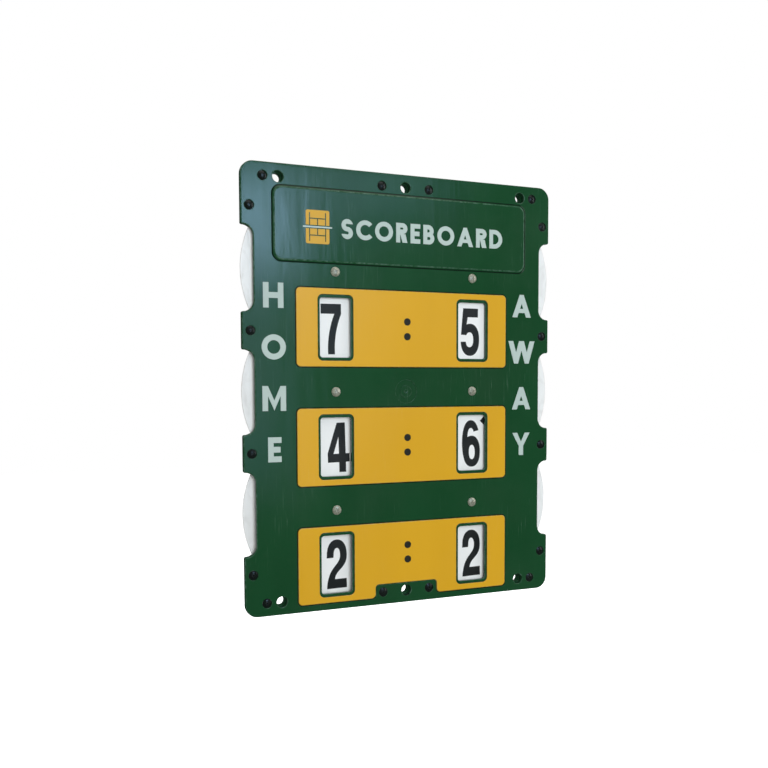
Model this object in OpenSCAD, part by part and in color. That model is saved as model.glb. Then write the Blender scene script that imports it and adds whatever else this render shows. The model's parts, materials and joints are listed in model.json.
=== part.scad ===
// Court-side score board: a green two-shell housing with six number discs that turn by their rims.
// Left and right columns count for the two sides, and each row shows one line of the score.
// Origin: middle of the flat rear face. +X is to the viewer's right, +Z is up, and the front faces -Y.

/* [Board] */
// Distance between the two columns of disc axles
column_pitch = 266; // [250:1:330]
// Distance between the rows of disc axles
row_pitch = 205; // [195:1:250]
// Height from the outermost disc rims to the board's top and bottom edges
end_margin = 10.75; // [10:0.25:30]
// Radius of the board's four outer corners
corner_r = 22; // [12:1:30]
// Thickness of the front plate
face_t = 3.6; // [3.2:0.1:5]
// Thickness of the front shell's side walls
wall_t = 3; // [2.5:0.1:3.6]
// Depth of the front shell, front face to the back of its side walls
front_depth = 8.5; // [7.5:0.1:10]
// Thickness of the rear shell's floor
floor_t = 3; // [2.4:0.1:5]
// Sideways gap between the two shells' walls
shell_gap = 1; // [0.5:0.1:1.5]
// Thickness of the rear shell's walls
rear_wall_t = 2.6; // [2:0.1:3]

/* [Finger notches] */
// How far each notch cuts in from the board's side edge
notch_depth = 20.5; // [15:0.5:24]
// Height of a notch
notch_h = 142; // [110:1:150]
// Radius of a notch's inner corners
notch_r = 17.5; // [8:0.5:18]
// Radius of the small corners where a notch meets the side edge
tab_r = 3; // [1:0.5:5]

/* [Number discs] */
// Radius of a disc
disc_r = 164; // [158:0.5:172]
// Thickness of a disc
disc_t = 1.4; // [1:0.1:2]
// Free gap between the layers that the discs turn in
layer_gap = 0.6; // [0.4:0.1:1]
// Room between the front plate and the foremost disc
disc_front_gap = 2.6; // [2.4:0.1:4]
// Room around a disc's rim where a wall is cut away for it
rim_room = 2; // [1:0.5:3]
// Radius of the hub's body, which fills the hole in the disc
hub_r = 12; // [11:0.5:14]
// Radius of the hub's flange behind the disc
flange_r = 18; // [16:0.5:22]
// Thickness of the hub's flange
flange_t = 1.2; // [1:0.1:1.6]

/* [Numerals] */
// Height of a numeral
num_h = 86.5; // [70:0.5:101]
// Room between the heads of neighbouring numerals on a disc
num_gap = 6.2; // [4:0.1:8]
// Gap from the bottom of a numeral to the disc's rim
num_edge = 23.75; // [20:0.25:32]
// How far the numerals sit below the middle of the windows
num_low = 2; // [0:0.5:4]
// Thickness of the printed film on the discs
film_t = 0.15; // [0.1:0.05:0.2]
// Score that each disc shows at rest, top to bottom: left column, then right column
shown = [[7, 4, 2], [5, 6, 2]];
// Degrees that each disc stands off its exact place, counter-clockwise seen from the front
rest_turn = [[0.5, 1.5, 1], [-0.5, 1, 1.5]];

/* [Windows and panels] */
// Width of a window
window_w = 57; // [50:0.5:62]
// Height that a window stands beyond its numeral, above and below
window_over = 7.75; // [6:0.25:12]
// Radius of a window's corners
window_r = 5; // [3:0.5:8]
// Width of the green rim round a window
window_rim = 3.2; // [2.5:0.1:5]
// Width of that rim above and below the window
window_rim_end = 4.6; // [2.5:0.1:6]
// Yellow panel beyond a window, above and below
panel_over = 11.1; // [9:0.1:13]
// Yellow panel beyond a window, at the outer side
panel_side = 39; // [20:1:39]
// Thickness of a panel
panel_t = 2.4; // [2:0.1:3]
// Depth of the recess that a panel lies in
recess_d = 1.2; // [0.8:0.1:1.6]
// Gap all round a panel in its recess
panel_gap = 0.6; // [0.3:0.1:1]
// Radius of a panel's corners
panel_r = 8; // [5:0.5:12]
// Radius of the pegs that locate the panels
peg_r = 2.5; // [2:0.1:3]
// Half the width of the cut-out in the bottom panel
cutout_half = 60; // [58:1:66]

/* [Header] */
// Raised header field's setback from the board's side edge
header_side = 53; // [50:1:60]
// Header field's setback from the board's top edge
header_top = 36; // [35.5:0.5:42]
// Height of the header field's lower edge over the top axles
header_foot = 13.5; // [12:0.5:20]
// How far the header field stands proud of the face
header_rise = 2.4; // [1:0.1:2.6]
// Height of the header's capitals
header_cap = 34; // [28:0.5:36]
// Height of the capitals down the two sides
side_cap = 42; // [34:0.5:46]
// Thickness of the self-adhesive lettering
letter_t = 0.3; // [0.2:0.05:0.5]

/* [Axles and fasteners] */
// Radius of the sleeve that a hub turns on
sleeve_r = 7; // [6:0.1:8.4]
// Radial running clearance of a hub on its sleeve
running_clear = 0.08; // [0.03:0.01:0.1]
// Radius of the axle screw's shank
axle_screw_r = 3; // [2.5:0.1:3.5]
// Radius of the axle screw's domed head
axle_head_r = 8.2; // [7:0.1:9]
// Height of the axle screw's domed head
axle_head_h = 3.4; // [2.5:0.1:4]
// Radius of the shell screw's shank
shell_screw_r = 2.4; // [2:0.1:2.6]
// Radius of the shell screw's domed head
shell_head_r = 7.9; // [6:0.1:8]
// Height of the shell screw's domed head
shell_head_h = 3; // [2.4:0.1:3.6]
// Radius of the counterbore round a shell screw's head
counterbore_r = 8.5; // [8.2:0.1:9]
// Depth of that counterbore
counterbore_d = 2.2; // [1.6:0.1:2.4]
// Radius of the six hanging holes
hang_r = 8; // [6:0.25:9]
// Radius of a hanging hole's wider mouth at the front
hang_mouth_r = 9.3; // [9.1:0.1:11]
// Depth of that mouth
hang_mouth_d = 10; // [6:0.5:14]
// Wall of the tube round a hanging hole
hang_wall = 2.6; // [2:0.1:3]

/* [Hidden] */
$fn = 72;
eps = 0.01;

// The board is as wide and as high as its discs need.
disc_x = column_pitch / 2;
board_w = column_pitch + 2 * disc_r;
board_h = 2 * (row_pitch + disc_r + end_margin);

// Discs that overlap lie in different layers. Corner-wise neighbours share one while they clear.
layer_pitch = disc_t + layer_gap;
corner_clear = norm([column_pitch, row_pitch]) > 2 * disc_r + rim_room;
layers = corner_clear ? 4 : 6;
function layer(side, row) = corner_clear ? row + 1 - side : 2 * row + 1 - side;

// Depths, all measured back from the front face
stack_d0 = face_t + disc_front_gap;
stack_d1 = stack_d0 + (layers - 1) * layer_pitch + disc_t;
hub_d0 = stack_d0 - 0.2;
hub_d1 = stack_d1 + flange_t + 0.2;
washer_t = 0.6;
spring_t = 0.8;
boss_d0 = hub_d0 - washer_t - 0.2;
boss_d1 = hub_d1 + spring_t + 0.2;
nut_d0 = boss_d1 + 2.2;
nut_t = 4.6;
board_t = nut_d0 + nut_t + 0.2;
floor_d = board_t - floor_t;
skirt_d = stack_d0 - 1;
slot_d0 = stack_d0 - 0.8;
slot_d1 = stack_d1 + 0.8;
function disc_d0(side, row) = stack_d0 + layer(side, row) * layer_pitch;

// Face-on places
function side_x(side) = (2 * side - 1) * disc_x;
function row_z(row) = (1 - row) * row_pitch;
num_r_out = disc_r - num_edge;
num_w = 2 * (num_r_out - num_h) * tan(22.5) - num_gap;
window_drop = num_r_out - num_h / 2 - num_low;
window_h = num_h + 2 * window_over;
collar_w = window_w + 2 * window_rim;
collar_h = window_h + 2 * window_rim_end;
panel_hole_w = collar_w + 2 * panel_gap;
panel_hole_h = collar_h + 2 * panel_gap;
panel_w = 2 * (disc_x + panel_hole_w / 2 + panel_side);
panel_h = panel_hole_h + 2 * panel_over;
hang_x = board_w / 2 - 64;
hang_z = board_h / 2 - 22.5;
hang_tube_r = hang_mouth_r + hang_wall;
cutout_z = -hang_z + hang_tube_r + 2;
header_w = board_w - 2 * header_side;
header_z0 = row_pitch + header_foot;
header_z1 = board_h / 2 - header_top;
header_r = 15;
home_place = [-(board_w / 2 - 53.8), 1.8];
away_place = [board_w / 2 - 58.6, -1.7];

// Sixteen shell screws: four along the top and bottom edges, four down each side
corner_screw_in = 37.5;
side_screw_in = 14.4;
cutout_screw_in = 14.6;
edge_screws = [for (x = [board_w / 2 - corner_screw_in, cutout_half - cutout_screw_in],
                    s = [-1, 1], t = [-1, 1]) [s * x, t * hang_z]];
side_screws = [for (z = [row_pitch / 2, row_pitch * 1.5], s = [-1, 1], t = [-1, 1])
               [s * (board_w / 2 - side_screw_in), t * z]];
shell_screw_places = concat(edge_screws, side_screws);
hang_places = [for (x = [-hang_x, 0, hang_x], t = [-1, 1]) [x, t * hang_z]];
axle_places = [for (side = [0, 1], row = [0, 1, 2]) [side_x(side), row_z(row)]];

// Fastener details
shell_clear = 0.3;
pillar_r = 7;
boss_r = 9.5;
boss_d = 6.5;
insert_r = 3.6;
insert_t = 8;
pillar_end_d = floor_d - 1;
axle_boss_r = 10;
nut_r = 5.8;
collar_top_d = -recess_d + 0.5;
dot_x = 2;
dot_r = 6.5;
dot_spacing = 26;
bead_w = 6;
bead_d = 1;
bead_in = 46;

green = "#2b4a35";
yellow = "#d2a437";
letter_grey = "#b6c8c0";
white = "#e6e8e8";

// ---------- Placing ----------

// Extrudes a face-on outline from depth d0 to depth d1 behind the front face.
module at_depth(d0, d1) {
    translate([0, d1 - board_t, 0]) rotate([90, 0, 0]) linear_extrude(d1 - d0) children();
}

// A round bar along Y between two depths.
module bar(place, r, d0, d1) {
    translate([place[0], d0 - board_t, place[1]]) rotate([-90, 0, 0]) cylinder(h = d1 - d0, r = r);
}

// A tube along Y between two depths.
module tube(place, r_out, r_in, d0, d1) {
    difference() {
        bar(place, r_out, d0, d1);
        bar(place, r_in, d0 - 1, d1 + 1);
    }
}

// A turned profile, radius by height, standing forwards from depth d.
module turned(place, d) {
    translate([place[0], d - board_t, place[1]]) rotate([90, 0, 0]) rotate_extrude() children();
}

// ---------- Outlines ----------

module rounded(w, h, r) {
    square([w - 2 * r, h], center = true);
    square([w, h - 2 * r], center = true);
    for (x = [-1, 1], y = [-1, 1]) translate([x * (w / 2 - r), y * (h / 2 - r)]) circle(r);
}

// An upright slot with round ends.
module upright_slot(w, h) {
    square([w, h - w], center = true);
    for (t = [-1, 1]) translate([0, t * (h - w) / 2]) circle(w / 2);
}

// What remains of a square corner outside its rounding, at the tab's corner.
module tab_corner(r) {
    difference() {
        translate([-r, 0]) square([r + 1, r]);
        translate([-r, r]) circle(r);
    }
}

// The board's outline, moved inwards by inset, with its six finger notches.
module outline(inset) {
    difference() {
        rounded(board_w - 2 * inset, board_h - 2 * inset, corner_r - inset);
        for (s = [-1, 1], row = [0, 1, 2]) translate([0, row_z(row)]) {
            translate([s * (board_w / 2 - notch_depth - inset + 50), 0])
                rounded(100, notch_h + 2 * inset, notch_r + inset);
            if (tab_r > inset)
                for (t = [-1, 1])
                    scale([s, t]) translate([board_w / 2 - inset, notch_h / 2 + inset - eps])
                        tab_corner(tab_r - inset);
        }
    }
}

// The full path of every disc, with room round its rim.
module disc_paths(d0, d1) {
    for (place = axle_places) bar(place, disc_r + rim_room, d0, d1);
}

module at_windows() {
    for (x = [-disc_x, disc_x], row = [0, 1, 2]) translate([x, row_z(row) - window_drop]) children();
}

// One yellow panel's outline, grown by grow. The bottom one has a cut-out round the fixings there.
module panel_outline(row, grow) {
    difference() {
        translate([0, row_z(row) - window_drop])
            rounded(panel_w + 2 * grow, panel_h + 2 * grow, panel_r + grow);
        if (row == 2) {
            translate([0, cutout_z - 50 - grow]) rounded(2 * (cutout_half - grow), 100, 6 - grow);
            for (s = [-1, 1])
                scale([s, 1])
                    translate([grow - cutout_half, row_z(2) - window_drop - panel_h / 2 - grow - eps])
                        tab_corner(panel_r + grow);
        }
    }
}

// Where a panel's four pegs stand.
function peg_places(row) = [for (s = [-1, 1], t = [-1, 1])
    [s * (panel_w / 2 - 12), row_z(row) - window_drop + t * (panel_h / 2 - 10)]];

module header_outline() {
    translate([0, (header_z0 + header_z1) / 2]) rounded(header_w, header_z1 - header_z0, header_r);
}

// ---------- Housing ----------

// Front plate with its side walls, bosses, tubes, recesses and windows.
module front_shell() {
    color(green) difference() {
        union() {
            difference() {
                union() {
                    at_depth(0, face_t) outline(0);
                    at_depth(-header_rise, eps) header_outline();
                    at_depth(face_t - eps, front_depth) difference() {
                        outline(0);
                        outline(wall_t);
                    }
                }
                at_depth(-1, recess_d) for (row = [0, 1, 2]) panel_outline(row, panel_gap);
                disc_paths(slot_d0, front_depth + 1);
            }
            at_depth(collar_top_d, skirt_d) at_windows() rounded(collar_w, collar_h, window_r + window_rim);
            for (place = shell_screw_places) bar(place, boss_r, face_t - eps, boss_d);
            for (place = axle_places) bar(place, hub_r, face_t - eps, boss_d0);
            for (place = hang_places) bar(place, hang_tube_r, face_t - eps, board_t);
        }
        at_depth(-5, skirt_d + 1) at_windows() rounded(window_w, window_h, window_r);
        for (place = shell_screw_places) {
            bar(place, counterbore_r, -1, counterbore_d);
            bar(place, shell_screw_r + shell_clear, 0, boss_d + 1);
        }
        for (place = axle_places) bar(place, axle_screw_r + 0.2, -1, boss_d0 + 1);
        for (place = hang_places) {
            bar(place, hang_r, -1, board_t + 1);
            bar(place, hang_mouth_r, -1, hang_mouth_d);
        }
        for (row = [0, 1, 2], place = peg_places(row)) bar(place, peg_r, 0, face_t + 1);
        // shallow turned rings in the middle of the face
        tube([0, 0], 20.5, 11.2, -1, 0.9);
        tube([0, 0], 9.6, 4, -1, 0.5);
    }
}

// Rear tray with ribs, screw pillars, axle bosses and nut pockets.
module rear_shell() {
    color(green) difference() {
        union() {
            difference() {
                union() {
                    at_depth(floor_d, board_t) outline(wall_t + shell_gap);
                    at_depth(face_t + 0.4, floor_d + eps) difference() {
                        outline(wall_t + shell_gap);
                        outline(wall_t + shell_gap + rear_wall_t);
                    }
                }
                disc_paths(0, slot_d1);
            }
            at_depth(boss_d1, floor_d + eps) ribs();
            for (place = shell_screw_places) bar(place, pillar_r, boss_d, floor_d + eps);
            for (place = axle_places) bar(place, axle_boss_r, boss_d1, floor_d + eps);
        }
        at_depth(board_t - bead_d, board_t + 1) beads();
        for (place = hang_places) bar(place, hang_tube_r + 0.3, 0, board_t + 1);
        for (place = shell_screw_places) {
            bar(place, boss_r + shell_clear, 0, boss_d);
            bar(place, insert_r, 0, boss_d + insert_t);
            bar(place, shell_screw_r + shell_clear, 0, pillar_end_d);
        }
        for (place = axle_places) {
            bar(place, axle_screw_r + 0.2, 0, board_t);
            nut_prism(place, nut_r + 0.15, nut_d0, board_t + 1);
        }
    }
}

// Shallow grooves that stiffen the rear face: one all round, and slots between the axles.
module beads() {
    difference() {
        rounded(board_w - 2 * bead_in, board_h - 2 * bead_in, corner_r);
        rounded(board_w - 2 * (bead_in + bead_w), board_h - 2 * (bead_in + bead_w), corner_r - bead_w);
    }
    for (x = [-disc_x, 0, disc_x], t = [-1, 1]) translate([x, t * row_pitch / 2])
        upright_slot(bead_w, 0.6 * row_pitch);
}

// Stiffening ribs on the rear floor.
module ribs() {
    intersection() {
        outline(wall_t + shell_gap + rear_wall_t / 2);
        union() {
            for (x = [-disc_x, -disc_x / 3, disc_x / 3, disc_x]) translate([x, 0])
                square([2, board_h - 60], center = true);
            for (row = [0, 1, 2]) translate([0, row_z(row)]) square([board_w, 2], center = true);
            for (t = [-1, 1]) translate([0, t * row_pitch / 2]) square([board_w, 2], center = true);
        }
    }
}

// ---------- Panels and lettering ----------

module panel(row) {
    color(yellow) {
        at_depth(recess_d - panel_t, recess_d) difference() {
            panel_outline(row, 0);
            for (x = [-disc_x, disc_x]) translate([x, row_z(row) - window_drop])
                rounded(panel_hole_w, panel_hole_h, window_r + window_rim + panel_gap);
        }
        for (place = peg_places(row)) bar(place, peg_r, recess_d - eps, face_t);
    }
}

module panel_top() { panel(0); }
module panel_middle() { panel(1); }
module panel_bottom() { panel(2); }

// Height of the middle of a panel's plain middle part
function dots_z(row) =
    row == 2 ? (cutout_z + row_z(2) - window_drop + panel_h / 2) / 2 : row_z(row) - window_drop;

// Two round dots between the windows of each panel, like a colon.
module panel_dots() {
    color("#26241c") at_depth(recess_d - panel_t - letter_t, recess_d - panel_t)
        for (row = [0, 1, 2], t = [-1, 1])
            translate([dot_x, dots_z(row) + t * dot_spacing / 2]) circle(dot_r);
}

header_mid = (header_z0 + header_z1) / 2 - 3;
emblem_w = 42;
emblem_h = 56;
emblem_x = -header_w / 2 + 79;
line_w = 1.8;

// A court seen from above: side lines, base lines, service lines, and a gap where the net goes.
module header_emblem() {
    color(yellow) at_depth(-header_rise - letter_t, -header_rise)
        translate([emblem_x, header_mid]) difference() {
            rounded(emblem_w, emblem_h, 3);
            for (s = [-1, 1]) {
                translate([s * emblem_w * 0.34, 0]) square([line_w, emblem_h - 8], center = true);
                translate([0, s * emblem_h * 0.25]) square([emblem_w * 0.68, line_w], center = true);
            }
            square([line_w, emblem_h * 0.5], center = true);
            square([emblem_w + 2, 6], center = true);
        }
}

module header_letters() {
    color(letter_grey) at_depth(-header_rise - letter_t, -header_rise) {
        translate([emblem_x, header_mid]) square([emblem_w + 10, 2.6], center = true);
        translate([-header_w / 2 + 122, header_mid - header_cap / 2])
            word("SCOREBOARD", header_cap, 6);
    }
}

// Capitals one above the other, down one side of the board.
module column_word(letters, place) {
    color(letter_grey) at_depth(-letter_t, 0)
        for (i = [0 : len(letters) - 1])
            translate([place[0] - glyph_w(letters[i]) * side_cap / 2,
                       place[1] + row_pitch * (0.78 - i * 0.42) - side_cap / 2])
                glyph(letters[i], side_cap);
}

module home_letters() { column_word("HOME", home_place); }
module away_letters() { column_word("AWAY", away_place); }

// ---------- Capitals ----------

// Width of each capital, in capital heights
function glyph_w(ch) =
    ch == "O" ? 1 : ch == "A" ? 0.96 : ch == "C" ? 0.86 : ch == "M" ? 0.98 : ch == "W" ? 1.36 :
    ch == "Y" ? 0.9 : ch == "D" ? 0.8 : ch == "H" ? 0.84 : ch == "R" ? 0.64 : ch == "B" ? 0.64 :
    ch == "S" ? 0.615 : 0.56;

function word_x(letters, i, cap, gap) =
    i == 0 ? 0 : word_x(letters, i - 1, cap, gap) + glyph_w(letters[i - 1]) * cap + gap;

// A word set along the line, with the same gap after every letter.
module word(letters, cap, gap) {
    for (i = [0 : len(letters) - 1]) translate([word_x(letters, i, cap, gap), 0]) glyph(letters[i], cap);
}

// One capital of height cap, standing on the line, with its left edge at zero.
module glyph(ch, cap) {
    w = glyph_w(ch) * cap;
    s = 0.23 * cap;
    if (ch == "H") letter_h(w, cap, s);
    if (ch == "O") letter_o(cap, s);
    if (ch == "C") letter_c(cap, s);
    if (ch == "M") letter_m(w, cap, s);
    if (ch == "E") letter_e(w, cap, s);
    if (ch == "A") letter_a(w, cap, s);
    if (ch == "W") letter_w(w, cap, s);
    if (ch == "Y") letter_y(w, cap, s);
    if (ch == "S") letter_s(w, cap, s);
    if (ch == "R") letter_r(w, cap, s);
    if (ch == "B") letter_b(w, cap, s);
    if (ch == "D") bowl(w, cap, s);
}

module letter_h(w, c, s) {
    square([s, c]);
    translate([w - s, 0]) square([s, c]);
    translate([0, (c - s) / 2]) square([w, s]);
}

module letter_o(c, s) {
    translate([c / 2, c / 2]) difference() {
        circle(c / 2);
        circle(c / 2 - s);
    }
}

module letter_c(c, s) {
    difference() {
        letter_o(c, s);
        translate([c / 2, c / 2]) polygon([[0, 0], [c, -0.85 * c], [c, 0.85 * c]]);
    }
}

module letter_m(w, c, s) {
    polygon([[0, 0], [s, 0], [s, 0.6 * c], [w / 2, 0.02 * c], [w - s, 0.6 * c], [w - s, 0], [w, 0],
             [w, c], [w - s, c], [w / 2, 0.42 * c], [s, c], [0, c]]);
}

module letter_e(w, c, s) {
    square([s, c]);
    for (y = [0, (c - s) / 2, c - s]) translate([0, y]) square([y == 0 || y == c - s ? w : 0.92 * w, s]);
}

// Two slanted strokes that meet in a point at the foot.
module vee(w, c, s) {
    run = w / 2 - 0.45 * s;
    t = 1.1 * s;
    polygon([[0, c], [t, c], [w / 2, c - c * (w / 2 - t) / run], [w - t, c], [w, c],
             [w / 2 + 0.45 * s, 0], [w / 2 - 0.45 * s, 0]]);
}

module letter_a(w, c, s) {
    translate([0, c]) scale([1, -1]) vee(w, c, s);
    run = w / 2 - 0.45 * s;
    bar_y = 0.2 * c;
    translate([bar_y / c * run + 0.5 * s, bar_y])
        square([w - 2 * (bar_y / c * run + 0.5 * s), 0.8 * s]);
}

module letter_w(w, c, s) {
    vee_w = (w + 1.1 * s) / 2;
    vee(vee_w, c, s);
    translate([w - vee_w, 0]) vee(vee_w, c, s);
}

module letter_y(w, c, s) {
    polygon([[0, c], [1.1 * s, c], [w / 2, 0.6 * c], [w - 1.1 * s, c], [w, c], [(w + s) / 2, 0.41 * c],
             [(w + s) / 2, 0], [(w - s) / 2, 0], [(w - s) / 2, 0.41 * c]]);
}

module letter_s(w, c, s) {
    r = (c + s) / 4;
    difference() {
        translate([w / 2, c - r]) circle(r);
        translate([w / 2, c - r]) circle(r - s);
        translate([w / 2, c - 2 * r]) square([r + 1, 1.2 * r]);
    }
    difference() {
        translate([w / 2, r]) circle(r);
        translate([w / 2, r]) circle(r - s);
        translate([w / 2 - r - 1, 0.8 * r]) square([r + 1, 1.2 * r]);
    }
}

// A slab with a straight left side at x and a round right side ending at w.
module round_ended(x, w, h) {
    middle = w - h / 2;
    translate([x, -h / 2]) square([middle - x, h]);
    intersection() {
        translate([middle, 0]) circle(h / 2);
        translate([middle, -h]) square([h, 2 * h]);
    }
}

// A stem with a round bowl on its right, all of the same stroke.
module bowl(w, h, s) {
    translate([0, h / 2]) difference() {
        round_ended(0, w, h);
        round_ended(s, w - s, h - 2 * s);
    }
}

module letter_r(w, c, s) {
    h = 0.56 * c;
    translate([0, c - h]) bowl(w, h, s);
    square([s, c]);
    polygon([[0.36 * w, c - h], [w - 1.2 * s, 0], [w, 0], [0.36 * w + 1.3 * s, c - h]]);
}

module letter_b(w, c, s) {
    h = (c + s) / 2;
    bowl(w, h, s);
    translate([0, c - h]) bowl(0.94 * w, h, s);
}

// ---------- Numerals ----------

// Points along an oval, from angle a0 to a1, a little squarer than an ellipse.
function oval(cx, cy, rx, ry, a0 = 0, a1 = 352.5, steps = 47) =
    [for (i = [0 : steps]) let (a = a0 + (a1 - a0) * i / steps, c = cos(a), d = sin(a))
        [cx + rx * sign(c) * pow(abs(c), 0.9), cy + ry * sign(d) * pow(abs(d), 0.9)]];

// Points along a cubic curve.
function curve(p, q, r, s, steps = 8) =
    [for (i = [0 : steps]) let (t = i / steps, u = 1 - t)
        u * u * u * p + 3 * u * u * t * q + 3 * u * t * t * r + t * t * t * s];

// One numeral, drawn 84 high and about 38 wide and then stretched, standing on the line.
module digit(n) {
    scale([num_w / 38, num_h / 84]) {
        if (n == 0) digit_0();
        if (n == 1) digit_1();
        if (n == 2) digit_2();
        if (n == 3) digit_3();
        if (n == 4) digit_4();
        if (n == 5) digit_5();
        if (n == 6) digit_6();
        if (n == 7) digit_7();
    }
}

module digit_0() {
    difference() {
        polygon(oval(0, 42, 18.5, 42));
        polygon(oval(0, 42, 6.3, 28));
    }
}

module digit_1() {
    polygon([[-2.5, 0], [10.5, 0], [10.5, 84], [1, 84], [-3, 76], [-14, 70], [-14, 56], [-2.5, 61]]);
}

module digit_2() {
    polygon(concat(oval(0.5, 57, 18.5, 27, 180, 0, 20), curve([19, 57], [19, 43], [12, 37], [3, 29]),
                   curve([3, 29], [-0.5, 25.5], [-3, 22], [-4, 16]), [[18, 16], [18, 0], [-19, 0]],
                   curve([-19, 0], [-18, 15], [-14, 26], [-7, 34.5]),
                   curve([-7, 34.5], [0.5, 43], [6.5, 47], [6.5, 57]), oval(0.5, 57, 6, 12.5, 0, 180, 20),
                   [[-6, 53], [-18.5, 53]]));
}

module digit_3() {
    difference() {
        union() {
            polygon(oval(0, 61, 17.5, 23));
            polygon(oval(0, 26.5, 19, 26.5));
        }
        polygon(oval(0, 60, 5.8, 10));
        polygon(oval(0, 27, 7.2, 12.5));
        translate([-20, 27]) square([18, 31]);
    }
}

module digit_4() {
    difference() {
        polygon([[-20, 17], [-20, 33], [-2, 84], [13, 84], [13, 31.5], [20, 31.5], [20, 17],
                 [13, 17], [13, 0], [0.5, 0], [0.5, 17]]);
        polygon([[-9.5, 31.5], [0.5, 31.5], [0.5, 60]]);
    }
}

module digit_5() {
    polygon(concat([[-18.5, 37], [-14.5, 84], [16, 84], [16, 68.5], [-5, 68.5]],
                   oval(0, 28.5, 19, 28.5, 110, -173.5, 40), oval(-1, 28.5, 7.8, 13.3, -166.5, 145, 40)));
}

module digit_6() {
    difference() {
        union() {
            difference() {
                intersection() {
                    polygon(oval(0, 42, 18.5, 42));
                    polygon([[-20, 15], [0, 15], [0, 62], [20, 66], [20, 85], [-20, 85]]);
                }
                polygon(oval(0, 50, 7.2, 20));
            }
            polygon(oval(1, 28, 17.5, 28));
        }
        polygon(oval(1.5, 26.5, 6.2, 13));
    }
}

module digit_7() {
    translate([-18.5, 67.5]) square([37, 16.5]);
    intersection() {
        difference() {
            translate([142.8, 8]) circle(149);
            translate([155.2, 8]) circle(149);
        }
        translate([-18.5, 0]) square([38, 68]);
    }
}

// How far each numeral is set off its radial line, so that its weight looks centred in the window
digit_shift = [0, 0, 2, 0, 5, 0, 1, -6];

// The eight numerals of one disc, feet outwards, rising counter-clockwise seen from the front.
module numerals(side, row) {
    d = disc_d0(side, row);
    color("#1c1c1d") at_depth(d - film_t, d) translate([side_x(side), row_z(row)])
        for (n = [0 : 7])
            rotate((n - shown[side][row]) * 45 + rest_turn[side][row])
                translate([digit_shift[n] * num_w / 38, -num_r_out]) digit(n);
}

module numerals_left_top() { numerals(0, 0); }
module numerals_left_middle() { numerals(0, 1); }
module numerals_left_bottom() { numerals(0, 2); }
module numerals_right_top() { numerals(1, 0); }
module numerals_right_middle() { numerals(1, 1); }
module numerals_right_bottom() { numerals(1, 2); }

// ---------- Discs, hubs and axles ----------

module disc(side, row) {
    d = disc_d0(side, row);
    color(white) tube([side_x(side), row_z(row)], disc_r, hub_r, d, d + disc_t);
}

module disc_left_top() { disc(0, 0); }
module disc_left_middle() { disc(0, 1); }
module disc_left_bottom() { disc(0, 2); }
module disc_right_top() { disc(1, 0); }
module disc_right_middle() { disc(1, 1); }
module disc_right_bottom() { disc(1, 2); }

// Hub body through the disc, with a flange bonded to the disc's back.
module hub(side, row) {
    place = [side_x(side), row_z(row)];
    d = disc_d0(side, row) + disc_t;
    color("#55605a") difference() {
        union() {
            bar(place, hub_r, hub_d0, hub_d1);
            bar(place, flange_r, d, d + flange_t);
        }
        bar(place, sleeve_r + running_clear, 0, board_t);
    }
}

module hub_left_top() { hub(0, 0); }
module hub_left_middle() { hub(0, 1); }
module hub_left_bottom() { hub(0, 2); }
module hub_right_top() { hub(1, 0); }
module hub_right_middle() { hub(1, 1); }
module hub_right_bottom() { hub(1, 2); }

// Steel sleeves, clamped between the front and rear bosses.
module axle_sleeves() {
    color("silver") for (place = axle_places) tube(place, sleeve_r, axle_screw_r + 0.2, boss_d0, boss_d1);
}

module friction_washers() {
    color("#d8d4c4") for (place = axle_places)
        tube(place, hub_r - 0.5, sleeve_r + 0.3, boss_d0 + 0.05, boss_d0 + washer_t);
}

// Spring washers that press the hubs forwards.
module spring_washers() {
    color("silver") for (place = axle_places)
        tube(place, hub_r - 1, sleeve_r + 0.3, hub_d1 + 0.1, hub_d1 + 0.1 + spring_t);
}

// Cross-section of a domed screw head, right of its axis.
module dome(r, h) {
    edge = 0.3 * h;
    ball = (r * r + (h - edge) * (h - edge)) / (2 * (h - edge));
    square([r, edge]);
    intersection() {
        translate([0, h - ball]) circle(ball);
        square([r, h]);
    }
}

// A domed screw whose head sits at depth d, with a hexagon socket.
module domed_screw(place, d, head_r, head_h, shank_r, end_d, socket_r) {
    difference() {
        union() {
            turned(place, d) dome(head_r, head_h);
            bar(place, shank_r, d - eps, end_d);
        }
        translate([place[0], d - head_h - 1 - board_t, place[1]]) rotate([-90, 0, 0])
            cylinder(h = 0.55 * head_h + 1, r = socket_r, $fn = 6);
    }
}

module axle_screws() {
    color("#9aa096") for (place = axle_places)
        domed_screw(place, 0, axle_head_r, axle_head_h, axle_screw_r, nut_d0 + nut_t, 2.9);
}

module nut_prism(place, r, d0, d1) {
    translate([place[0], d0 - board_t, place[1]]) rotate([-90, 0, 0]) cylinder(h = d1 - d0, r = r, $fn = 6);
}

module axle_nuts() {
    color("silver") for (place = axle_places) difference() {
        nut_prism(place, nut_r, nut_d0, nut_d0 + nut_t);
        bar(place, axle_screw_r, nut_d0 - 1, nut_d0 + nut_t + 1);
    }
}

module shell_screws() {
    color("#1c2522") for (place = shell_screw_places)
        domed_screw(place, counterbore_d, shell_head_r, shell_head_h, shell_screw_r, pillar_end_d - 1, 2.2);
}

// Brass inserts in the rear shell's pillars.
module threaded_inserts() {
    color("#b08d3c") for (place = shell_screw_places)
        tube(place, insert_r, shell_screw_r, boss_d, boss_d + insert_t);
}

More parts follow.
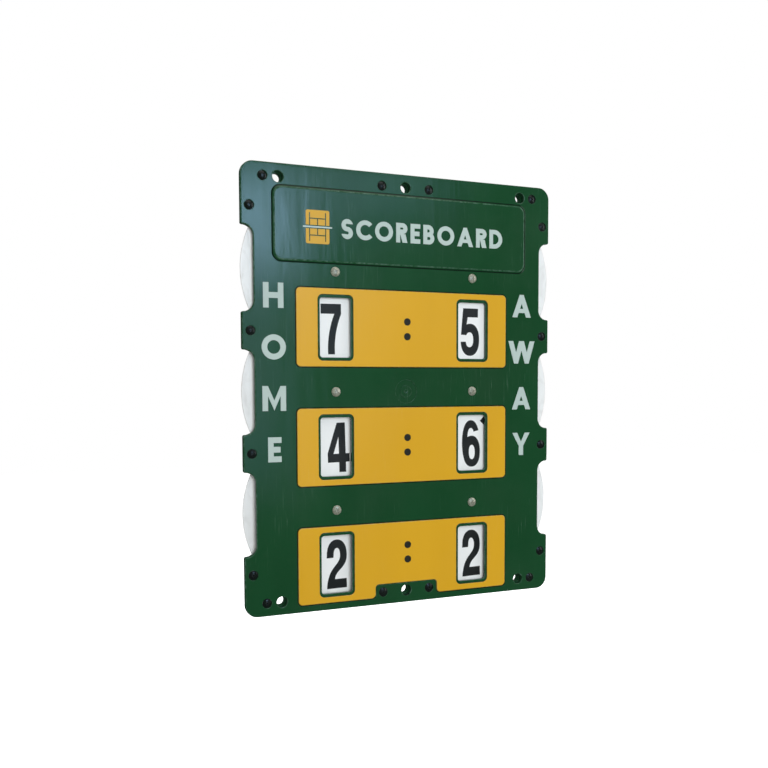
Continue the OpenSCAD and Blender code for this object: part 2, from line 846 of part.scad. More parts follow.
front_shell();
rear_shell();
header_emblem();
header_letters();
panel_top();
panel_middle();
panel_bottom();
panel_dots();
home_letters();
away_letters();
disc_left_top();
disc_left_middle();
disc_left_bottom();
disc_right_top();
disc_right_middle();
disc_right_bottom();
numerals_left_top();
numerals_left_middle();
numerals_left_bottom();
numerals_right_top();
numerals_right_middle();
numerals_right_bottom();
hub_left_top();
hub_left_middle();
hub_left_bottom();
hub_right_top();
hub_right_middle();
hub_right_bottom();
axle_sleeves();
friction_washers();
spring_washers();
axle_screws();
axle_nuts();
shell_screws();
threaded_inserts();
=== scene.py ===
"""Looks of a court-side score board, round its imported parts: mouldings, discs, films, fasteners."""

import json
import math

import bmesh
import bpy
from mathutils import Euler, Matrix, Vector


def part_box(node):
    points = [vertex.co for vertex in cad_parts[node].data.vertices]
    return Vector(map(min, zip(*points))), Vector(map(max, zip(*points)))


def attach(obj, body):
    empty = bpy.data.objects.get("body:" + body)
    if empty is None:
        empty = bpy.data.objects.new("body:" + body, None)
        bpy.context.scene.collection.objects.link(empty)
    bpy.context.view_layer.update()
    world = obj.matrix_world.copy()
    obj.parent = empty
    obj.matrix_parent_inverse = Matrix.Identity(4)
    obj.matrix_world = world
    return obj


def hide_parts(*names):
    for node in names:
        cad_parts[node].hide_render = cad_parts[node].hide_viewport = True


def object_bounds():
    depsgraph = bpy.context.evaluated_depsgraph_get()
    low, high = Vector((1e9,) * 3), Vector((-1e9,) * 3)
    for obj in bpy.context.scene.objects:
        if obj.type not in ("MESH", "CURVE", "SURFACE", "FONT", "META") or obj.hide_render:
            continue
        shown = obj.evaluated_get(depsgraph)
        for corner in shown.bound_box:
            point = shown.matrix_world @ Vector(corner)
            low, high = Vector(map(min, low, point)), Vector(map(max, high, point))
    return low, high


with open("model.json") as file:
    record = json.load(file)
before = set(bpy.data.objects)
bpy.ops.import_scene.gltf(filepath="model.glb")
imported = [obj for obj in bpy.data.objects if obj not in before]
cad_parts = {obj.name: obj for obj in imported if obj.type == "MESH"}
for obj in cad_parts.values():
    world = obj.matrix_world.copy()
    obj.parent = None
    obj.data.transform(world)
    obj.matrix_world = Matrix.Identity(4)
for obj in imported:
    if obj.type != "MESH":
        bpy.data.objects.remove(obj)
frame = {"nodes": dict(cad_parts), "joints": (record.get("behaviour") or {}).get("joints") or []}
cad_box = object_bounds()

MM = 0.001
SIDES = ("left", "right")
ROWS = ("top", "middle", "bottom")
PLACES = [f"{side}_{row}" for side in SIDES for row in ROWS]
# Faces that meet at more than this make a corner, which is rounded or shaded as an edge.
SHARP = math.radians(30)
# How far from a plane a vertex may be and still count as in it.
PLANE_SLACK = 0.02 * MM
# How far back a domed head reaches from its front.
HEAD_REACH = 2.9 * MM

# Roundings of the rims in one plane, as (least size of a rim, radius), largest first.
FRONT_ROUNDINGS = [(500 * MM, 2.0 * MM),    # outline
                   (100 * MM, 1.0 * MM),    # recesses of the panels
                   (35 * MM, 0.7 * MM),     # outer ring in the middle
                   (19 * MM, 0.4 * MM),     # inner rings
                   (18 * MM, 1.6 * MM),     # mouths of the hanging holes
                   (16.5 * MM, 0.6 * MM),   # counterbores of the shell screws
                   (7.5 * MM, 0.4 * MM)]    # small flat inside the rings
COLLAR_ROUNDINGS = [(50 * MM, 0.9 * MM)]
TUBE_ROUNDINGS = [(22 * MM, 0.3 * MM),      # outsides of the hanging tubes
                  (15 * MM, 0.8 * MM)]      # the holes through them
REAR_ROUNDINGS = [(500 * MM, 1.8 * MM),     # outline, and the long groove inside it
                  (20 * MM, 0.5 * MM),      # short grooves, and the holes for the hanging tubes
                  (10 * MM, 0.3 * MM)]      # nut pockets
PANEL_ROUNDINGS = [(200 * MM, 2.0 * MM),    # outline
                   (50 * MM, 1.3 * MM)]     # windows
HEADER_ROUNDINGS = [(300 * MM, 1.7 * MM)]
NUT_ROUNDINGS = [(8 * MM, 0.6 * MM),        # hexagon
                 (4 * MM, 0.4 * MM)]        # bore

# Depths along Y: the flat front, the raised header field, the window collars' fronts, and the rear.
front_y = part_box("home_letters")[1].y
header_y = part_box("front_shell")[0].y
collar_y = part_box("panel_top")[0].y + 0.5 * MM
wall_back_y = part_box("rear_shell")[1].y
axles = {joint["name"].removeprefix("turn_"): Vector(joint["pos_m"]) for joint in frame["joints"]}
disc_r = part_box("disc_left_top")[1].x - axles["left_top"].x


# ---------- Camera, stage and lights ----------

def add_camera():
    """A standing viewer's place, to the left of the board and level with its middle."""
    data = bpy.data.cameras.new("camera")
    data.lens = 41.67
    data.shift_x = 0.0123
    data.shift_y = 0.075
    camera = bpy.data.objects.new("camera", data)
    camera.location = Vector((-0.6636, front_y - 1.4415, 0.0064))
    camera.rotation_euler = Euler([math.radians(a) for a in (86.55, 0.24, -22.688)])
    bpy.context.scene.collection.objects.link(camera)
    bpy.context.scene.camera = camera


def add_stage():
    """A wide pale floor below the hanging board."""
    drop, reach = 0.55, 9.0
    bm = bmesh.new()
    bmesh.ops.create_grid(bm, x_segments=1, y_segments=1, size=reach)
    bmesh.ops.translate(bm, verts=bm.verts, vec=(0, 0, cad_box[0].z - drop))
    floor = as_object(bm, "floor")
    floor.visible_glossy = False
    floor.visible_diffuse = False
    floor.data.materials.append(pale_floor())


def add_light(name, place, aim, size, power, colour, mirrored=False):
    """A soft rectangular light. Only a mirrored one shows in the gloss."""
    data = bpy.data.lights.new(name, "AREA")
    data.shape = "RECTANGLE"
    data.size, data.size_y = size
    data.energy = power
    data.color = colour
    light = bpy.data.objects.new(name, data)
    light.location = place
    light.rotation_euler = (Vector(aim) - Vector(place)).to_track_quat("-Z", "Y").to_euler()
    light.visible_glossy = mirrored
    bpy.context.scene.collection.objects.link(light)


def add_lights():
    centre, daylight = (0, front_y, 0), (0.44, 0.69, 1.0)
    for name, x, z, size, power in (("window", 0.33, 0.70, (0.30, 0.40), 4.2),
                                    ("window_above", 0.88, 0.90, (0.55, 0.26), 1.1),
                                    ("window_below", 0.26, 0.02, (0.40, 0.80), 1.3)):
        add_light(name, (x, -2.2, z), (x, front_y, z), size, power, daylight, True)
    add_light("right_strip", (2.0, -1.3, 0.6), centre, (0.4, 1.8), 6, (0.92, 0.98, 1.0), True)
    add_light("front_fill", (-0.1, -3.6, 0.3), centre, (2.6, 2.0), 83, (1.0, 1.0, 0.98))
    add_light("overhead", (0.1, -1.2, 2.4), centre, (2.4, 1.6), 10, (1.0, 0.99, 0.97), True)
    add_light("right_fill", (2.6, -1.6, 0.5), centre, (1.6, 2.2), 5, (1.0, 0.99, 0.97))
    add_light("rear_fill", (0.4, 2.8, 1.2), centre, (2.4, 2.0), 60, (1.0, 1.0, 1.0))
    add_light("rear_window", (-2.0, 1.8, 1.7), centre, (0.9, 0.7), 12, (0.85, 0.95, 1.0), True)


def add_world():
    """White to look at, and a calmer grey to light and to be mirrored in the gloss."""
    world = bpy.data.worlds.new("studio")
    world.use_nodes = True
    tree = world.node_tree
    tree.nodes.clear()
    path = tree.nodes.new("ShaderNodeLightPath")
    diffuse = add_node(tree, "Background", {"Color": (1, 1, 1, 1), "Strength": 0.22})
    mirrored = add_node(tree, "Background", {"Color": (0.4, 0.85, 0.6, 1), "Strength": 0.1})
    seen = add_node(tree, "Background", {"Color": (1, 1, 1, 1), "Strength": 1.0})
    gloss = add_node(tree, "MixShader", {0: path.outputs["Is Glossy Ray"], 1: diffuse.outputs[0],
                                         2: mirrored.outputs[0]})
    both = add_node(tree, "MixShader", {0: path.outputs["Is Camera Ray"], 1: gloss.outputs[0],
                                        2: seen.outputs[0]})
    add_node(tree, "OutputWorld", {"Surface": both.outputs[0]})
    bpy.context.scene.world = world
    bpy.context.scene.view_settings.view_transform = "Standard"


# ---------- Node helpers and shared effects ----------

def add_node(tree, kind, values=None, **settings):
    """A shader node with its settings, and with each named input set to a value or linked."""
    made = tree.nodes.new("ShaderNode" + kind)
    for name, value in settings.items():
        setattr(made, name, value)
    for name, value in (values or {}).items():
        if isinstance(value, bpy.types.NodeSocket):
            tree.links.new(value, made.inputs[name])
        else:
            made.inputs[name].default_value = value
    return made


def math_node(tree, operation, a, b=0.0, clamp=False):
    return add_node(tree, "Math", {0: a, 1: b}, operation=operation, use_clamp=clamp).outputs[0]


def mix_colour(tree, factor, a, b):
    """Colour a at factor 0 and b at 1. The Mix node's sockets 6 and 7 are its colours."""
    made = add_node(tree, "Mix", {"Factor": factor, 6: a, 7: b}, data_type="RGBA")
    return made.outputs[2]


def noise(tree, vector, scale, detail=2.0, distortion=0.0):
    made = add_node(tree, "TexNoise", {"Vector": vector, "Scale": scale, "Detail": detail,
                                       "Distortion": distortion})
    return made.outputs[0]


def object_coords(tree, scale=(1, 1, 1), turn=(0, 0, 0)):
    coords = tree.nodes.new("ShaderNodeTexCoord")
    return add_node(tree, "Mapping", {"Vector": coords.outputs["Object"], "Scale": scale,
                                      "Rotation": turn}).outputs[0]


def between(tree, value, low, high):
    """0 below low, 1 above high, and a straight rise between them."""
    return add_node(tree, "MapRange", {"Value": value, "From Min": low, "From Max": high}).outputs[0]


def new_group(name, inputs, outputs):
    """An empty node group: inputs are {name: (default, low, high)}, outputs are names of floats."""
    tree = bpy.data.node_groups.new(name, "ShaderNodeTree")
    for label, (default, low, high) in inputs.items():
        socket = tree.interface.new_socket(label, in_out="INPUT", socket_type="NodeSocketFloat")
        socket.default_value, socket.min_value, socket.max_value = default, low, high
    for label in outputs:
        tree.interface.new_socket(label, in_out="OUTPUT", socket_type="NodeSocketFloat")
    return tree, tree.nodes.new("NodeGroupInput"), tree.nodes.new("NodeGroupOutput")


def moulded_face_group():
    """Height of a moulded face: long upright waves where the melt shrank, and a fine orange peel."""
    tree, given, out = new_group("moulded_face", {"Waves": (1, 0, 4), "Peel": (1, 0, 4)}, ["Height"])
    waves = noise(tree, object_coords(tree, (34, 34, 5)), 1.0, detail=2.0, distortion=0.6)
    sinks = noise(tree, object_coords(tree), 7.0, detail=1.0)
    peel = noise(tree, object_coords(tree), 900.0, detail=2.0)
    long = math_node(tree, "ADD", math_node(tree, "MULTIPLY", waves, 0.6), sinks)
    long = math_node(tree, "MULTIPLY", long, given.outputs["Waves"])
    fine = math_node(tree, "MULTIPLY", math_node(tree, "MULTIPLY", peel, 0.02), given.outputs["Peel"])
    tree.links.new(math_node(tree, "ADD", long, fine), out.inputs["Height"])
    return tree


def scuffs_group():
    """Mask of fine rubbed lines in three directions, in patches."""
    tree, given, out = new_group("scuffs", {"Amount": (0.5, 0, 1)}, ["Mask"])
    total = None
    for turn, scale in ((12, 90), (-35, 120), (78, 70)):
        vector = object_coords(tree, (1, 1, 0.03), (0, math.radians(turn), 0))
        lines = noise(tree, vector, scale * 6.0, detail=3.0)
        patch = noise(tree, object_coords(tree), scale / 9.0, detail=2.0)
        thin = between(tree, lines, 0.63, 0.70)
        shown = math_node(tree, "MULTIPLY", thin, between(tree, patch, 0.55, 0.75))
        total = shown if total is None else math_node(tree, "MAXIMUM", total, shown)
    tree.links.new(math_node(tree, "MULTIPLY", total, given.outputs["Amount"]), out.inputs["Mask"])
    return tree


def dust_group():
    """Mask of thin settled dust: soft clouds with specks in them."""
    tree, given, out = new_group("dust", {"Amount": (0.3, 0, 1)}, ["Mask"])
    clouds = between(tree, noise(tree, object_coords(tree), 9.0, detail=5.0), 0.42, 0.72)
    specks = between(tree, noise(tree, object_coords(tree), 1400.0, detail=1.0), 0.66, 0.74)
    both = math_node(tree, "ADD", math_node(tree, "MULTIPLY", clouds, 0.45), specks, clamp=True)
    tree.links.new(math_node(tree, "MULTIPLY", both, given.outputs["Amount"]), out.inputs["Mask"])
    return tree


def edge_wear_group():
    """Mask of rubbed edges, from the worn value kept on the rounded edges, broken up by a grain."""
    tree, given, out = new_group("edge_wear", {"Amount": (0.5, 0, 1)}, ["Mask"])
    worn = add_node(tree, "Attribute", attribute_name="worn").outputs["Fac"]
    grain = between(tree, noise(tree, object_coords(tree), 160.0, detail=4.0), 0.35, 0.7)
    mask = math_node(tree, "MULTIPLY", worn, grain)
    tree.links.new(math_node(tree, "MULTIPLY", mask, given.outputs["Amount"]), out.inputs["Mask"])
    return tree


GROUPS = {"moulded_face": moulded_face_group(), "scuffs": scuffs_group(), "dust": dust_group(),
          "edge_wear": edge_wear_group()}


def effect(tree, name, output, **values):
    """A shared effect placed in a material, with its own values."""
    made = tree.nodes.new("ShaderNodeGroup")
    made.node_tree = GROUPS[name]
    for label, value in values.items():
        made.inputs[label.capitalize()].default_value = value
    return made.outputs[output]


# ---------- Materials ----------

def new_material(name, **uniform):
    """A material with a Principled BSDF, whose even values are set on its own sockets."""
    material = bpy.data.materials.new(name)
    material.use_nodes = True
    tree = material.node_tree
    shader = tree.nodes["Principled BSDF"]
    for label, value in uniform.items():
        shader.inputs[label.replace("_", " ").title().replace("Ior", "IOR")].default_value = value
    return material, tree, shader


def wire(tree, shader, colour=None, roughness=None, height=None, bump=0.3, distance=0.4 * MM):
    if colour is not None:
        tree.links.new(colour, shader.inputs["Base Color"])
    if roughness is not None:
        tree.links.new(roughness, shader.inputs["Roughness"])
    if height is not None:
        made = add_node(tree, "Bump", {"Height": height, "Strength": bump, "Distance": distance})
        tree.links.new(made.outputs[0], shader.inputs["Normal"])


def moulded_plastic(name, light, dark, pale, painted_shade_colour, roughness, waves=1.0):
    """Glossy moulded plastic: two close tones, dust, scuffs, pale rubbed edges, and painted shade: a dark
    colour laid on its feet and recess walls.
    """
    material, tree, shader = new_material(name)
    tone = noise(tree, object_coords(tree, (3, 3, 1)), 3.0, detail=4.0)
    colour = mix_colour(tree, between(tree, tone, 0.35, 0.65), light, dark)
    scuff = effect(tree, "scuffs", "Mask", amount=0.5)
    dust = effect(tree, "dust", "Mask", amount=0.12)
    wear = effect(tree, "edge_wear", "Mask", amount=0.5)
    marks = math_node(tree, "MAXIMUM", math_node(tree, "MULTIPLY", scuff, 0.35), wear)
    colour = mix_colour(tree, marks, colour, pale)
    colour = mix_colour(tree, math_node(tree, "MULTIPLY", dust, 0.25), colour, (0.4, 0.4, 0.37, 1))
    # Painted shade: this vertex value darkens the colour towards the shade colour in recess walls and at the
    # header's foot.
    painted_shade = add_node(tree, "Attribute", attribute_name="painted_shade").outputs["Fac"]
    colour = mix_colour(tree, math_node(tree, "MULTIPLY", painted_shade, 0.9), colour, painted_shade_colour)
    dull = math_node(tree, "ADD", math_node(tree, "MULTIPLY", scuff, 0.2),
                     math_node(tree, "MULTIPLY", dust, 0.3))
    rough = math_node(tree, "ADD", dull, roughness, clamp=True)
    wire(tree, shader, colour, rough, effect(tree, "moulded_face", "Height", waves=waves),
         bump=0.8, distance=0.8 * MM)
    return material


def disc_sheet():
    """White sheet of the discs: round rub lines, grey finger marks towards the rim, and a painted shade band
    at its outer edge.
    """
    material, tree, shader = new_material("disc_sheet")
    radius = add_node(tree, "Attribute", attribute_name="radius").outputs["Fac"]
    rings = add_node(tree, "TexNoise", {"W": radius, "Scale": 2400.0, "Detail": 4.0},
                     noise_dimensions="1D").outputs[0]
    rubbed = between(tree, rings, 0.58, 0.72)
    smear = noise(tree, object_coords(tree, (1, 1, 0.5)), 60.0, detail=5.0, distortion=0.8)
    rim = between(tree, radius, disc_r - 39 * MM, disc_r - 2 * MM)
    finger = math_node(tree, "MULTIPLY", rim, between(tree, smear, 0.45, 0.75))
    tone = noise(tree, object_coords(tree), 5.0, detail=3.0)
    colour = mix_colour(tree, tone, (0.86, 0.875, 0.87, 1), (0.90, 0.91, 0.90, 1))
    colour = mix_colour(tree, math_node(tree, "MULTIPLY", rubbed, 0.12), colour, (0.6, 0.61, 0.62, 1))
    colour = mix_colour(tree, math_node(tree, "MULTIPLY", finger, 0.35), colour, (0.5, 0.49, 0.46, 1))
    # Painted shade: a darker brownish band along the disc's outer edge.
    edge = between(tree, radius, disc_r - 1.0 * MM, disc_r - 0.2 * MM)
    colour = mix_colour(tree, math_node(tree, "MULTIPLY", edge, 0.4), colour, (0.50, 0.44, 0.36, 1))
    rough = math_node(tree, "ADD", math_node(tree, "MULTIPLY", rubbed, 0.12), 0.34)
    wire(tree, shader, colour, rough, rings, 0.05, 0.05 * MM)
    return material


def film(name, ink, faded, roughness=0.45):
    """Cut or printed film: a fine grain, slightly faded in clouds, with a few scuffs."""
    material, tree, shader = new_material(name)
    cloud = between(tree, noise(tree, object_coords(tree), 14.0, detail=5.0), 0.4, 0.7)
    grain = noise(tree, object_coords(tree), 2200.0, detail=1.0)
    blotch = math_node(tree, "ADD", cloud, math_node(tree, "MULTIPLY", grain, 0.6))
    fade = math_node(tree, "MULTIPLY", blotch, 0.45, clamp=True)
    colour = mix_colour(tree, fade, ink, faded)
    scuff = effect(tree, "scuffs", "Mask", amount=0.3)
    colour = mix_colour(tree, math_node(tree, "MULTIPLY", scuff, 0.4), colour, faded)
    rough = math_node(tree, "ADD", math_node(tree, "MULTIPLY", grain, 0.14), roughness)
    wire(tree, shader, colour, rough, grain, 0.12, 0.05 * MM)
    return material


def metal(name, bright, dull, roughness, metallic=1.0):
    """Plated or brushed metal, clouded with tarnish and finely lined."""
    material, tree, shader = new_material(name, metallic=metallic)
    cloud = noise(tree, object_coords(tree), 420.0, detail=5.0)
    tarnish = between(tree, cloud, 0.445, 0.625)
    lines = noise(tree, object_coords(tree, (1, 1, 0.08)), 5200.0, detail=2.0)
    colour = mix_colour(tree, tarnish, bright, dull)
    rough = math_node(tree, "ADD", math_node(tree, "MULTIPLY", tarnish, 0.22), roughness)
    rough = math_node(tree, "ADD", math_node(tree, "MULTIPLY", lines, 0.1), rough)
    wire(tree, shader, colour, rough, math_node(tree, "ADD", lines, cloud), 0.18, 0.04 * MM)
    return material


def coated_steel(name, coat, bare, roughness):
    """Black-coated steel, rubbed through to the metal on its worn edges."""
    material, tree, shader = new_material(name)
    grain = noise(tree, object_coords(tree), 1500.0, detail=3.0)
    wear = effect(tree, "edge_wear", "Mask", amount=0.55)
    dust = effect(tree, "dust", "Mask", amount=0.15)
    colour = mix_colour(tree, grain, coat, [1.5 * c for c in coat[:3]] + [1])
    colour = mix_colour(tree, wear, colour, bare)
    colour = mix_colour(tree, math_node(tree, "MULTIPLY", dust, 0.3), colour, (0.3, 0.31, 0.29, 1))
    tree.links.new(math_node(tree, "MULTIPLY", wear, 0.9), shader.inputs["Metallic"])
    rough = math_node(tree, "ADD", math_node(tree, "MULTIPLY", dust, 0.3), roughness)
    wire(tree, shader, colour, rough, grain, 0.15, 0.05 * MM)
    return material


def turned_nylon(name, light, dark):
    """Turned plastic of the hubs and washers, with fine tool lines."""
    material, tree, shader = new_material(name)
    lines = noise(tree, object_coords(tree, (0.2, 1, 0.2)), 2600.0, detail=2.0)
    colour = mix_colour(tree, lines, light, dark)
    wire(tree, shader, colour, math_node(tree, "ADD", math_node(tree, "MULTIPLY", lines, 0.2), 0.4),
         lines, 0.1, 0.05 * MM)
    return material


def pale_floor():
    """Pale floor that glows more with distance, a painted light, so that it meets the white studio without a
    line.
    """
    material, tree, shader = new_material("pale_floor", roughness=0.9)
    tone = noise(tree, object_coords(tree), 1.2, detail=3.0)
    colour = mix_colour(tree, tone, (0.93, 0.93, 0.93, 1), (0.95, 0.95, 0.95, 1))
    coords = tree.nodes.new("ShaderNodeTexCoord")
    away = add_node(tree, "VectorMath", {0: coords.outputs["Object"]}, operation="LENGTH").outputs["Value"]
    # Painted light: the floor's emission rises with distance from its middle.
    glow = between(tree, away, -0.8, 2.5)
    tree.links.new(glow, shader.inputs["Emission Strength"])
    shader.inputs["Emission Color"].default_value = (1, 1, 1, 1)
    wire(tree, shader, colour)
    return material


# ---------- Meshes ----------

def as_object(bm, name):
    mesh = bpy.data.meshes.new(name)
    bm.to_mesh(mesh)
    bm.free()
    made = bpy.data.objects.new(name, mesh)
    bpy.context.scene.collection.objects.link(made)
    return made


def merged_copy(node):
    """The CAD node's faces as whole flats, with its loose triangles joined."""
    bm = bmesh.new()
    bm.from_mesh(frame["nodes"][node].data)
    bmesh.ops.remove_doubles(bm, verts=bm.verts, dist=0.01 * MM)
    bmesh.ops.dissolve_limit(bm, angle_limit=math.radians(0.5), verts=bm.verts, edges=bm.edges)
    return bm


def rims_at(bm, depth, outward=True):
    """Joined corners in the plane at that depth, as (longer side of its box, edges) of each rim."""
    def in_plane(edge):
        return all(abs(vert.co.y - depth) < PLANE_SLACK for vert in edge.verts)

    loose = {edge for edge in bm.edges if edge.is_manifold and edge.is_convex == outward
             and edge.calc_face_angle() > SHARP and in_plane(edge)}
    rims = []
    while loose:
        rim, reached = set(), [loose.pop()]
        while reached:
            edge = reached.pop()
            rim.add(edge)
            joined = {other for vert in edge.verts for other in vert.link_edges} & loose
            loose -= joined
            reached.extend(joined)
        points = [vert.co for edge in rim for vert in edge.verts]
        size = max(max(p[axis] for p in points) - min(p[axis] for p in points) for axis in (0, 2))
        rims.append((size, rim))
    return rims


def round_edges(bm, edges, radius, segments=3, rubbed=True):
    """Rounds edges, and marks the rounding as worn where hands and cloths rub it, or else for painted shade.
    """
    kind = "worn" if rubbed else "painted_shade"
    mark = bm.verts.layers.float.get(kind) or bm.verts.layers.float.new(kind)
    made = bmesh.ops.bevel(bm, geom=list(edges), offset=radius, offset_type="OFFSET", affect="EDGES",
                           segments=segments, profile=0.5, material=-1, clamp_overlap=False)
    strip = set(made["faces"])
    for vert in {vert for face in strip for vert in face.verts}:
        if all(face in strip for face in vert.link_faces):
            vert[mark] = 1.0


def round_rims(bm, depth, rounding, segments=3, outward=True):
    """Rounds the rims in the plane at that depth, each by the first rounding that it is large enough for."""
    picked = {}
    for size, rim in rims_at(bm, depth, outward):
        radius = next((radius for least, radius in rounding if size >= least), 0)
        if radius:
            picked.setdefault(radius, set()).update(rim)
    for radius, edges in picked.items():
        round_edges(bm, edges, radius, segments, rubbed=outward)


def finished(bm, name, material, body, replaces=()):
    """Smooth shading that keeps the flats flat, then the piece's finish, body and place in the part."""
    for face in bm.faces:
        face.smooth = True
    for edge in bm.edges:
        edge.smooth = not (edge.is_manifold and edge.calc_face_angle() > SHARP)
    made = as_object(bm, name)
    weighted = made.modifiers.new("flats", "WEIGHTED_NORMAL")
    weighted.keep_sharp = True
    made.data.materials.append(material)
    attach(made, body)
    if replaces:
        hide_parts(*replaces)
    return made


def paint_recess_shade(bm):
    """Marks the walls of the panels' recesses, and their rounded rims, for painted shade."""
    painted_shade = bm.verts.layers.float.get("painted_shade") or bm.verts.layers.float.new("painted_shade")
    start, reach = 0.1 * MM, 3.0 * MM
    for row in ROWS:
        low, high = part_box(f"panel_{row}")
        for vert in bm.verts:
            inset = min(vert.co.x - low.x, high.x - vert.co.x, vert.co.z - low.z, high.z - vert.co.z)
            if abs(inset) < reach and start < vert.co.y - front_y < reach:
                vert[painted_shade] = 1.0


def soften_header(bm):
    """Slants the raised header field's sides, and rounds its top edge and its foot, whose rounding gets
    painted shade.
    """
    draft = 3.0 * MM
    top = [vert for vert in bm.verts if abs(vert.co.y - header_y) < PLANE_SLACK]
    low = [min(vert.co[axis] for vert in top) for axis in range(3)]
    high = [max(vert.co[axis] for vert in top) for axis in range(3)]
    centre = (Vector(low) + Vector(high)) / 2
    shrink = [1 - 2 * draft / (high[axis] - low[axis]) for axis in (0, 2)]
    bmesh.ops.scale(bm, verts=top, vec=(shrink[0], 1, shrink[1]), space=Matrix.Translation(-centre))
    round_rims(bm, header_y, HEADER_ROUNDINGS)
    # The hollow foot's rounding is marked for painted shade.
    round_rims(bm, front_y, HEADER_ROUNDINGS, outward=False)


def dimple_middle(bm):
    """A shallow round dimple in the small flat inside the middle rings."""
    def reach(face):
        return max(math.hypot(vert.co.x, vert.co.z) for vert in face.verts)

    fronts = [face for face in bm.faces
              if all(abs(vert.co.y - front_y) < PLANE_SLACK for vert in face.verts)]
    flat, step = min(fronts, key=reach), 0.95 * MM
    for sink in (0.30 * MM, 0.20 * MM, 0.08 * MM):
        bmesh.ops.inset_individual(bm, faces=[flat], thickness=step, depth=-sink)


def add_front_shell(green):
    bm = merged_copy("front_shell")
    round_rims(bm, front_y, FRONT_ROUNDINGS)
    dimple_middle(bm)
    paint_recess_shade(bm)
    round_rims(bm, collar_y, COLLAR_ROUNDINGS)
    soften_header(bm)
    round_rims(bm, wall_back_y, TUBE_ROUNDINGS)
    finished(bm, "front_moulding", green, "housing", ["front_shell"])


def add_rear_shell(green):
    bm = merged_copy("rear_shell")
    round_rims(bm, wall_back_y, REAR_ROUNDINGS)
    finished(bm, "rear_moulding", green, "housing", ["rear_shell"])


def add_plate(node, material):
    """A window panel, with its outline and windows rounded, and painted shade that darkens it the deeper it
    goes.
    """
    bm = merged_copy(node)
    face_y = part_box(node)[0].y
    round_rims(bm, face_y, PANEL_ROUNDINGS)
    # Painted shade: darker the further a point lies behind the panel's face.
    painted_shade = bm.verts.layers.float.new("painted_shade")
    unshaded_depth, darkening = 0.2 * MM, 0.4 * MM
    for vert in bm.verts:
        vert[painted_shade] = min(max(vert.co.y - face_y - unshaded_depth, 0) / darkening, 1)
    finished(bm, node + "_moulding", material, "housing", [node])


def add_disc(place, material):
    """A turned disc with a rounded rim, fresh from its profile."""
    node = f"disc_{place}"
    low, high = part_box(node)
    centre = axles[place]
    outer = high.x - centre.x
    hole = min(math.hypot(vert.co.x - centre.x, vert.co.z - centre.z)
               for vert in frame["nodes"][node].data.vertices)
    bm = bmesh.new()
    front, back, edge = low.y, high.y, 0.35 * MM
    radii = [hole] + [r * MM for r in (30, 60, 90, 120, 140, 155)] + [outer - edge]
    profile = [(r, front) for r in radii] + [(outer, front + edge), (outer, back - edge)]
    profile += [(r, back) for r in reversed(radii)]
    verts = [bm.verts.new((centre.x + r, y, centre.z)) for r, y in profile]
    edges = [bm.edges.new((a, b)) for a, b in zip(verts, verts[1:] + verts[:1])]
    bmesh.ops.spin(bm, geom=verts + edges, cent=centre, axis=(0, 1, 0), angle=math.tau, steps=180,
                   use_merge=True, use_duplicate=False)
    bmesh.ops.recalc_face_normals(bm, faces=bm.faces)
    radius = bm.verts.layers.float.new("radius")
    for vert in bm.verts:
        vert[radius] = math.hypot(vert.co.x - centre.x, vert.co.z - centre.z)
    finished(bm, f"sheet_disc_{place}", material, f"score_{place}", [node])


def dress(nodes, material):
    """A finish for CAD nodes whose shape stays."""
    for node in nodes:
        data = frame["nodes"][node].data
        data.materials.clear()
        data.materials.append(material)


def add_screws(node, material, radius):
    """Domed screws with the mouth of each hexagon socket and the rim of each head eased."""
    bm = merged_copy(node)
    head_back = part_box(node)[0].y + HEAD_REACH
    corners = [edge for edge in bm.edges if edge.is_manifold and edge.is_convex
               and edge.calc_face_angle() > SHARP and all(vert.co.y < head_back for vert in edge.verts)]
    round_edges(bm, corners, radius, segments=2)
    finished(bm, node + "_eased", material, "housing", [node])


def add_nuts(material):
    """Hexagon nuts with the corners of their open face eased."""
    bm = merged_copy("axle_nuts")
    round_rims(bm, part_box("axle_nuts")[1].y, NUT_ROUNDINGS, segments=2)
    finished(bm, "chamfered_nuts", material, "housing", ["axle_nuts"])


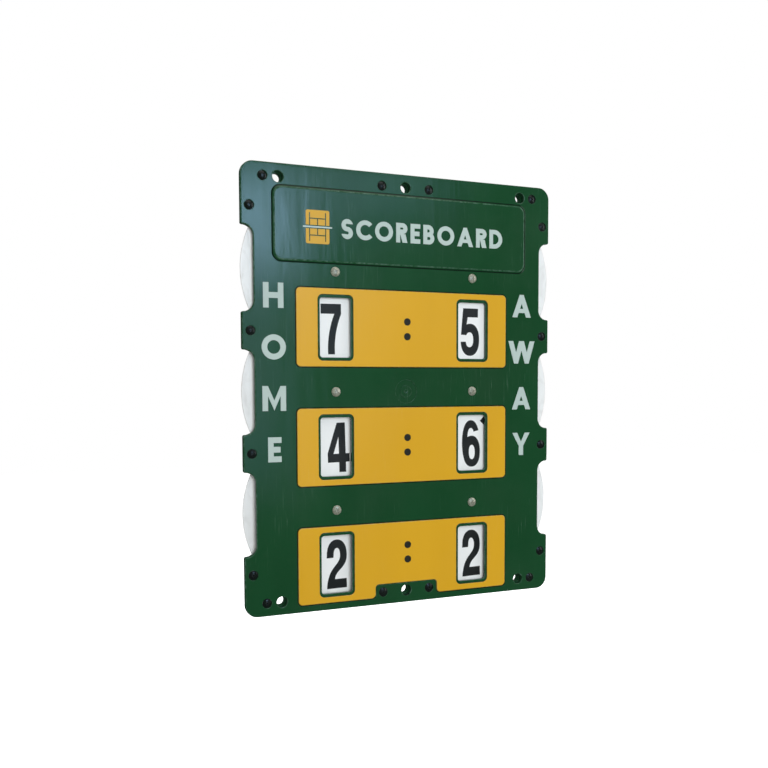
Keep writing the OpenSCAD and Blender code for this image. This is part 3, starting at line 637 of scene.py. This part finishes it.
def build():
    # The fifth colour of each moulding is its painted shade colour.
    green = moulded_plastic("green_moulding", (0.0085, 0.062, 0.0205, 1), (0.0070, 0.053, 0.0170, 1),
                            (0.16, 0.27, 0.21, 1), (0.002, 0.008, 0.004, 1), 0.19)
    yellow = moulded_plastic("yellow_moulding", (0.72, 0.388, 0.013, 1), (0.69, 0.368, 0.011, 1),
                             (0.75, 0.62, 0.3, 1), (0.03, 0.03, 0.005, 1), 0.33, waves=0.6)
    add_front_shell(green)
    add_rear_shell(green)
    for row in ROWS:
        add_plate(f"panel_{row}", yellow)
    white = disc_sheet()
    for place in PLACES:
        add_disc(place, white)
    dress([f"numerals_{place}" for place in PLACES],
          film("printed_black", (0.010, 0.010, 0.011, 1), (0.03, 0.03, 0.03, 1), 0.4))
    dress(["panel_dots"], film("dot_black", (0.013, 0.012, 0.01, 1), (0.04, 0.035, 0.02, 1)))
    dress(["header_letters", "home_letters", "away_letters"],
          film("grey_film", (0.50, 0.60, 0.56, 1), (0.42, 0.52, 0.48, 1), 0.5))
    dress(["header_emblem"], film("yellow_film", (0.68, 0.39, 0.045, 1), (0.6, 0.36, 0.06, 1)))
    zinc = metal("weathered_zinc", (0.78, 0.73, 0.60, 1), (0.40, 0.37, 0.29, 1), 0.27, metallic=0.7)
    add_screws("axle_screws", zinc, 0.35 * MM)
    black = coated_steel("black_coat", (0.004, 0.005, 0.005, 1), (0.3, 0.3, 0.29, 1), 0.26)
    add_screws("shell_screws", black, 0.3 * MM)
    plated = metal("zinc_plate", (0.68, 0.69, 0.68, 1), (0.45, 0.46, 0.44, 1), 0.25)
    dress(["axle_sleeves", "spring_washers"], plated)
    add_nuts(plated)
    dress(["threaded_inserts"], metal("turned_brass", (0.72, 0.52, 0.2, 1), (0.45, 0.32, 0.12, 1), 0.25))
    dress([f"hub_{place}" for place in PLACES],
          turned_nylon("hub_plastic", (0.10, 0.12, 0.11, 1), (0.07, 0.085, 0.08, 1)))
    dress(["friction_washers"], turned_nylon("nylon", (0.72, 0.70, 0.62, 1), (0.6, 0.58, 0.5, 1)))


add_camera()
add_world()
add_stage()
add_lights()
build()
